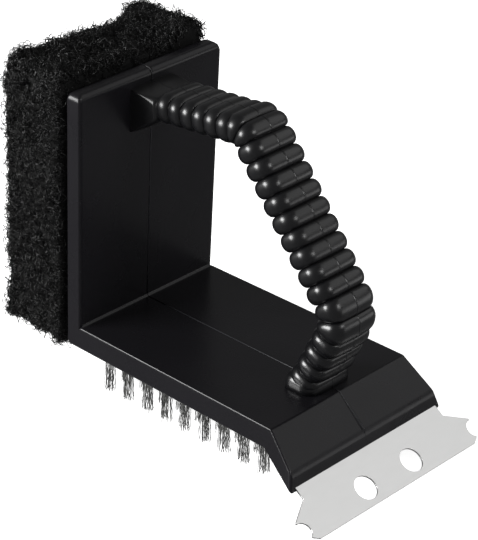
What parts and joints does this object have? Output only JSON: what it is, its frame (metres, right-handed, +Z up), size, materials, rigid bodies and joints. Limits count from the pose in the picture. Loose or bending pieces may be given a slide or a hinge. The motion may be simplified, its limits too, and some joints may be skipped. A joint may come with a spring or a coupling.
{
  "type": "grill cleaning brush",
  "caption": "Hand brush for cleaning a grill: a ribbed grip on a moulded body with steel bristles below, a notched scraper blade in front and a scouring pad on the back.",
  "frame": {"origin": "on the ground under the middle of the brush, which stands on its bristle tips and on the front edge of the blade", "axes": "+X towards the scraper blade, +Y to the left of a person pushing it that way, +Z up"},
  "size_m": [0.2252, 0.131, 0.1707],
  "materials": {
    "body_plastic": "black moulded polypropylene, satin on the body and glossy on the grip",
    "plate_plastic": "satin",
    "bristle_steel": "satin crimped wire",
    "staple_steel": "satin",
    "blade_steel": "satin",
    "screw_steel": "polished",
    "glue": "matte",
    "pad_fibre": "matte coarse open fibre"
  },
  "bodies": {
    "root": {"anchor_staples_1": "staple_steel", "anchor_staples_2": "staple_steel", "anchor_staples_3": "staple_steel", "anchor_staples_4": "staple_steel", "anchor_staples_5": "staple_steel", "anchor_staples_6": "staple_steel", "anchor_staples_7": "staple_steel", "blade_screws": "screw_steel", "body_left_half": "body_plastic", "body_right_half": "body_plastic", "bristle_row_1": "bristle_steel", "bristle_row_2": "bristle_steel", "bristle_row_3": "bristle_steel", "bristle_row_4": "bristle_steel", "bristle_row_5": "bristle_steel", "bristle_row_6": "bristle_steel", "bristle_row_7": "bristle_steel", "brush_plate": "plate_plastic", "pad_glue": "glue", "plate_screws": "screw_steel", "scouring_pad": "pad_fibre", "scraper_blade": "blade_steel"}
  },
  "joints": []
}
